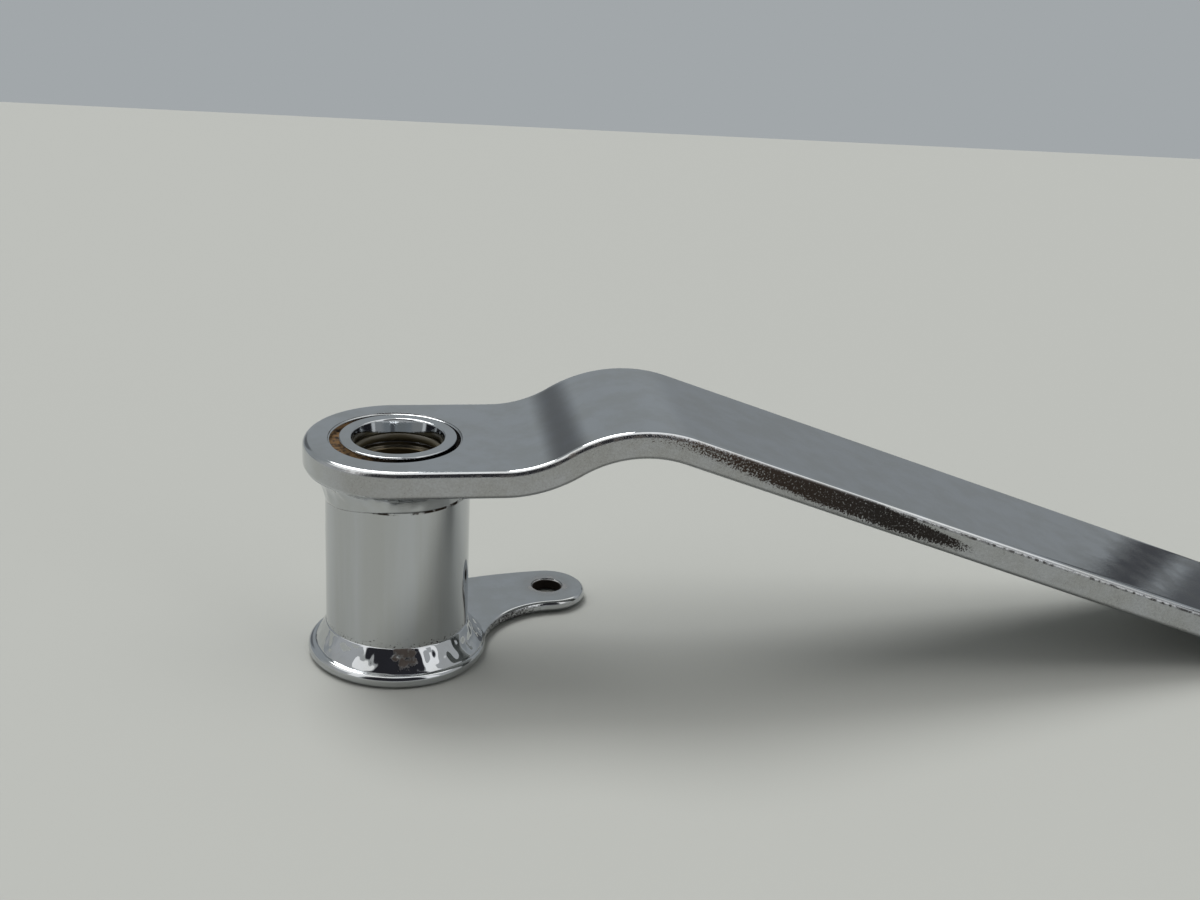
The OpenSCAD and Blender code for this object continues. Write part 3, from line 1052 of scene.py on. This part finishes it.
class PEDAL_OT_stage(bpy.types.Operator):
    """Set the floor, the light, the room and the camera"""

    bl_idname = "pedal.stage"
    bl_label = "Stage"

    def execute(self, context):
        scene = context.scene
        bm = bmesh.new()
        bmesh.ops.create_grid(bm, x_segments=1, y_segments=1, size=0.5)
        floor = add_piece("Floor", bm)
        # It ends at the wall's foot, which runs askew behind the pedal, and lies just under the pedal
        width, depth, far_edge, below, askew = 4, 2.6, 0.54, 0.05 * MM, math.radians(-9)
        floor.data.transform(Matrix.Diagonal((width, depth, 1, 1)))
        floor.data.transform(Matrix.Translation((0, far_edge - depth / 2, -below)))
        floor.data.transform(Matrix.Rotation(askew, 4, "Z"))
        # Painted board: pale and matt
        material, tree, shader = blank_material("Painted board")
        shader.inputs["Base Color"].default_value = scene.pedal_finish.floor
        shader.inputs["Roughness"].default_value = 0.85
        shader.inputs["Specular IOR Level"].default_value = 0.2
        floor.data.materials.append(material)

        lamp = bpy.data.lights.new("Window", "SUN")
        lamp.energy = 1.55
        lamp.angle = math.radians(28)
        window = bpy.data.objects.new("Window", lamp)
        towards = Vector((0.22, -0.55, -1))
        window.rotation_euler = towards.to_track_quat("-Z", "Y").to_euler()
        scene.collection.objects.link(window)

        # The view, from in front and above: where the camera is, and its tilt, roll and heading
        camera = bpy.data.objects.new("Camera", bpy.data.cameras.new("Camera"))
        place = Vector((-16.821, -388.874, 207.566)) * MM
        turned = Euler([math.radians(a) for a in (67.898, -2.526, -7.945)])
        camera.matrix_world = Matrix.LocRotScale(place, turned, None)
        camera.data.lens = 57.519
        camera.data.sensor_width = 36
        camera.data.clip_start = 0.01
        scene.collection.objects.link(camera)
        scene.camera = camera
        build_world(scene)
        scene.view_settings.view_transform = "Standard"
        return {"FINISHED"}


class PEDAL_PT_panel(bpy.types.Panel):
    """Lists the pedal's pieces and the stage"""

    bl_idname = "PEDAL_PT_panel"
    bl_label = "Brake pedal"
    bl_space_type = "VIEW_3D"
    bl_region_type = "UI"
    bl_category = "Pedal"

    def draw(self, context):
        for operator in OPERATORS:
            self.layout.operator(operator.bl_idname)


OPERATORS = (
    PEDAL_OT_stage,
    PEDAL_OT_arm,
    PEDAL_OT_tube,
    PEDAL_OT_bushes,
    PEDAL_OT_seals,
    PEDAL_OT_tab,
    PEDAL_OT_welds,
    PEDAL_OT_foot,
)


def register():
    """Register the classes and hang the sizes and colours on the scene."""
    for group in GROUPS.values():
        bpy.utils.register_class(group)
    for name, group in GROUPS.items():
        setattr(bpy.types.Scene, name, PointerProperty(type=group))
    for made in (*OPERATORS, PEDAL_PT_panel):
        bpy.utils.register_class(made)


def unregister():
    """Take away all that register added."""
    for made in (PEDAL_PT_panel, *reversed(OPERATORS)):
        bpy.utils.unregister_class(made)
    for name, group in reversed(list(GROUPS.items())):
        delattr(bpy.types.Scene, name)
        bpy.utils.unregister_class(group)


def main():
    """Build the stage and every piece."""
    register()
    bpy.ops.pedal.stage()
    bpy.ops.pedal.arm()
    bpy.ops.pedal.tube()
    bpy.ops.pedal.bushes()
    bpy.ops.pedal.seals()
    bpy.ops.pedal.tab()
    bpy.ops.pedal.welds()
    bpy.ops.pedal.foot()


if __name__ == "__main__":
    main()
